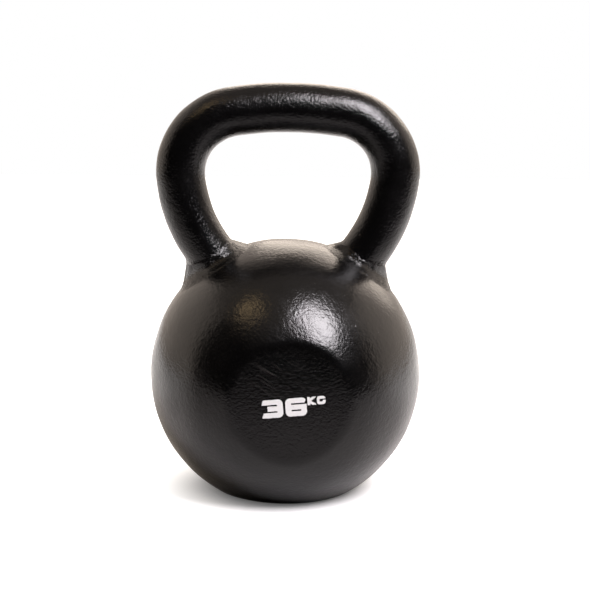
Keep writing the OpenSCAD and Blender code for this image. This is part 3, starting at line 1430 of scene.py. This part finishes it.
@dataclass(frozen=True)
class Room:
    """The room: white behind and beside the piece, dark in front of it and grey above.

    Attributes:
        beside: Depths of a direction between which the walls turn from dark to white.
        lean: How much farther forward the right wall's white comes.
        right_span: Sideways places of a direction between which the right wall brightens.
        right_glow: Light of the walls at the left and at the far right.
        above: Heights of a direction between which the walls turn into the ceiling.
        ceiling: Light below and in the ceiling.
        tint: Colour of the room's light.
    """

    beside: Pair = (-0.22, 0.08)
    lean: float = 0.07
    right_span: Pair = (0.2, 0.98)
    right_glow: Pair = (1.0, 1.3)
    above: Pair = (0.62, 0.80)
    ceiling: Pair = (0.004, 0.34)
    tint: Colour = (1.0, 0.86, 0.75, 1.0)

    def build(self) -> None:
        """Lights the room, which the camera sees as plain white."""
        world = bpy.data.worlds.new("room")
        bpy.context.scene.world = world
        world.use_nodes = True
        world.node_tree.nodes.clear()
        s = Shading(world.node_tree)
        direction = s.node("ShaderNodeTexCoord").outputs["Generated"]
        x, y, z = s.node("ShaderNodeSeparateXYZ", {0: direction}).outputs
        high = s.ramp(z, self.above)
        beside = s.ramp(s.math("ADD", y, s.math("MULTIPLY", x, self.lean)), self.beside)
        walls = s.math("SUBTRACT", beside, high, clamp=True)
        walls = s.math("MULTIPLY", walls, s.ramp(x, self.right_span, self.right_glow))
        ceiling = s.ramp(high, (0.0, 1.0), self.ceiling)
        ray = s.node("ShaderNodeLightPath").outputs["Is Camera Ray"]
        strength = s.math("MAXIMUM", s.math("MAXIMUM", walls, ceiling), ray)
        colour = s.mix(ray, self.tint, WHITE)
        sky = s.node("ShaderNodeBackground", {"Color": colour, "Strength": strength}).outputs[0]
        s.node("ShaderNodeOutputWorld", {"Surface": sky})


@dataclass(frozen=True)
class Lamp:
    """A soft lamp that looks at the piece.

    Attributes:
        name: Name of the lamp.
        elevation: Angle above the floor, in degrees.
        azimuth: Angle from -Y towards +X, in degrees.
        distance: Distance from the target.
        size: Width and height.
        radiance: Brightness of its face, where 1 is white.
        colour: Colour of its light.
        round_: Whether its face is an ellipse rather than a rectangle.
        target: What it looks at.
    """

    name: str
    elevation: float
    azimuth: float
    distance: float
    size: Pair
    radiance: float
    colour: Triple
    round_: bool
    target: Triple = (0.0, 0.0, 0.12)

    def build(self) -> None:
        """Hangs the lamp."""
        light = bpy.data.lights.new(self.name, "AREA")
        light.shape = "ELLIPSE" if self.round_ else "RECTANGLE"
        light.size, light.size_y = self.size
        face = self.size[0] * self.size[1] * (math.pi / 4 if self.round_ else 1.0)
        light.energy = self.radiance * face * math.pi
        light.color = self.colour
        lamp = bpy.data.objects.new(self.name, light)
        target = Vector(self.target)
        lamp.matrix_world = look_from(target + toward(self.elevation, self.azimuth) * self.distance, target)
        bpy.context.scene.collection.objects.link(lamp)


@dataclass(frozen=True)
class Studio:
    """The camera, the paper, the room and the lamps.

    Attributes:
        key: Large lamp above the right front.
        accent: Small warm lamp above the left.
        back: Wide lamp behind the piece.
    """

    key: Lamp = Lamp("key", 47.5, 38.0, 1.2, (0.54, 0.76), 23.0, (1.0, 0.95, 0.99), True)
    accent: Lamp = Lamp("accent", 57.0, -60.0, 1.3, (0.30, 0.30), 3.0, (1.0, 0.70, 0.36), True)
    back: Lamp = Lamp("back", 30.0, 159.0, 1.3, (1.2, 0.72), 2.5, (1.0, 0.87, 0.75), False)

    def build(self) -> None:
        """Makes the whole studio."""
        for part in (Camera(), Paper(), Room(), self.key, self.accent, self.back):
            part.build()
        bpy.context.scene.view_settings.view_transform = "Standard"


# ---------------------------------------------------------------- assembly


@dataclass(frozen=True)
class Dressing:
    """How a piece joins the frame.

    Attributes:
        piece: The piece.
        nodes: CAD nodes that it stands for.
        slot: Material slot of the record that it stands for; not used.
        material: Its material.
    """

    piece: bpy.types.Object
    nodes: tuple[str, ...]
    slot: Slot
    material: bpy.types.Material

    def apply(self) -> None:
        """Dresses the piece and ties it to the frame."""
        self.piece.data.materials.append(self.material)
        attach(self.piece, BODY)
        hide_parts(*self.nodes)
        size = self.piece.dimensions / MM
        log.info("%s: %d faces, %.1f x %.1f x %.1f mm", self.piece.name, len(self.piece.data.polygons), *size)


HANDLE_PAINT = BlackPaint(
    "handle_paint",
    roughness=0.21,
    peel_size=2.4 * MM,
    peel_depth=0.16 * MM,
    grain_size=1.5 * MM,
    grain_depth=0.34 * MM,
    wear=0.35,
)
WELD_PAINT = BlackPaint(
    "weld_paint",
    roughness=0.24,
    peel_size=2.4 * MM,
    peel_depth=0.20 * MM,
    grain_size=1.6 * MM,
    grain_depth=0.60 * MM,
    wear=0.4,
)


def main() -> None:
    """Builds the studio and the kettlebell, and notes its size."""
    logging.basicConfig(level=logging.INFO, format="%(name)s: %(message)s")
    Studio().build()
    effects = Effects()
    ball_paint = BlackPaint("ball_paint", scratches=0.6).make(effects)
    handle_paint = HANDLE_PAINT.make(effects)
    weld_paint = WELD_PAINT.make(effects)
    ink = PrintInk().make()

    ball = BallCasting()
    bar = HandleBar(ball)
    Dressing(ball.build(), ("ball_casting",), Slot.BALL, ball_paint).apply()
    Dressing(bar.build(), ("handle_bar",), Slot.HANDLE, handle_paint).apply()
    for side in Side:
        ring = WeldRing(side, ball, bar)
        Dressing(ring.build(), (f"{side.name.lower()}_weld",), Slot.WELD, weld_paint).apply()
    marking = PrintedMarking(ball)
    Dressing(marking.number(), ("weight_digits",), Slot.MARKING, ink).apply()
    Dressing(marking.unit(), ("unit_letters",), Slot.MARKING, ink).apply()


if __name__ == "__main__":
    main()
